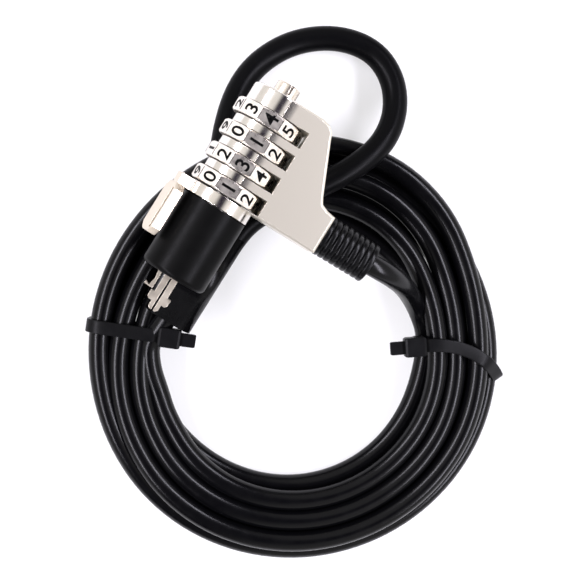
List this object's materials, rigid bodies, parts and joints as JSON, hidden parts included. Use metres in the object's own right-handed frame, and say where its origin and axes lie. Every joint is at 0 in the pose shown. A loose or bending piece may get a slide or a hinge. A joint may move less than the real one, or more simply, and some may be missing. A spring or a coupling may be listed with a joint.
{
  "type": "laptop cable lock",
  "caption": "Combination lock with number dials, a thumb lever that turns a T-bar for a security slot, and a coiled steel cable ending in a loop.",
  "frame": {"origin": "middle of the nose, on the lock's axis, in the plane where the sleeve meets the laptop", "axes": "+Y back along the axis to the release button, +X along the wing to the cable, +Z out of the wing's flat face"},
  "size_m": [0.1096, 0.1352, 0.035],
  "materials": {
    "plated_zinc": "die-cast zinc, polished and nickel plated",
    "plated_dial": "die-cast zinc, nickel plated, digits filled black",
    "satin_nickel": "satin nickel plate",
    "bright_steel": "turned and plated steel",
    "steel": "plain turned steel",
    "black_sleeve": "satin moulded ABS",
    "nylon": "moulded nylon",
    "relief_rubber": "moulded soft PVC",
    "cable_jacket": "glossy extruded PVC over steel cable",
    "loop_sleeving": "satin PVC sleeving",
    "crimp_skin": "glossy moulded cover"
  },
  "bodies": {
    "lock_body": {"back_cover": "plated_zinc", "cable_coil": "cable_jacket", "cable_lead": "cable_jacket", "cable_loop": "loop_sleeving", "cable_stop": "steel", "cable_tail": "cable_jacket", "core_tube": "steel", "cover_screw_1": "steel", "cover_screw_2": "steel", "crimp_cover": "crimp_skin", "crimp_ferrule": "steel", "guide_barb": "bright_steel", "housing": "plated_zinc", "inner_bush": "nylon", "nose_disc": "steel", "return_spring": "steel", "sleeve": "black_sleeve", "strain_relief": "relief_rubber", "tie_left_head": "nylon", "tie_left_strap": "nylon", "tie_right_head": "nylon", "tie_right_strap": "nylon"},
    "dial_1": {"number_dial_1": "plated_dial", "code_ring_1": "steel"},
    "dial_2": {"number_dial_2": "plated_dial", "code_ring_2": "steel"},
    "dial_3": {"number_dial_3": "plated_dial", "code_ring_3": "steel"},
    "dial_4": {"number_dial_4": "plated_dial", "code_ring_4": "steel"},
    "rotor": {"thumb_lever": "satin_nickel", "drive_pin": "steel", "t_bar": "bright_steel"},
    "button": {"release_button": "satin_nickel", "push_rod": "steel"}
  },
  "joints": [
    {"name": "dial_1_spin", "type": "hinge", "parent": "lock_body", "child": "dial_1", "pos_m": [0, 0.0249, 0], "axis": [0, 1, 0], "continuous": true},
    {"name": "dial_2_spin", "type": "hinge", "parent": "lock_body", "child": "dial_2", "pos_m": [0, 0.0311, 0], "axis": [0, 1, 0], "continuous": true},
    {"name": "dial_3_spin", "type": "hinge", "parent": "lock_body", "child": "dial_3", "pos_m": [0, 0.0373, 0], "axis": [0, 1, 0], "continuous": true},
    {"name": "dial_4_spin", "type": "hinge", "parent": "lock_body", "child": "dial_4", "pos_m": [0, 0.0435, 0], "axis": [0, 1, 0], "continuous": true},
    {"name": "lever_turn", "type": "hinge", "parent": "lock_body", "child": "rotor", "pos_m": [0, 0, 0], "axis": [0, 1, 0], "range_deg": [0, 90]},
    {"name": "button_press", "type": "slide", "parent": "lock_body", "child": "button", "axis": [0, -1, 0], "range_m": [0, 0.0016], "stiffness_N_per_m": 300, "springref_m": -0.001}
  ]
}
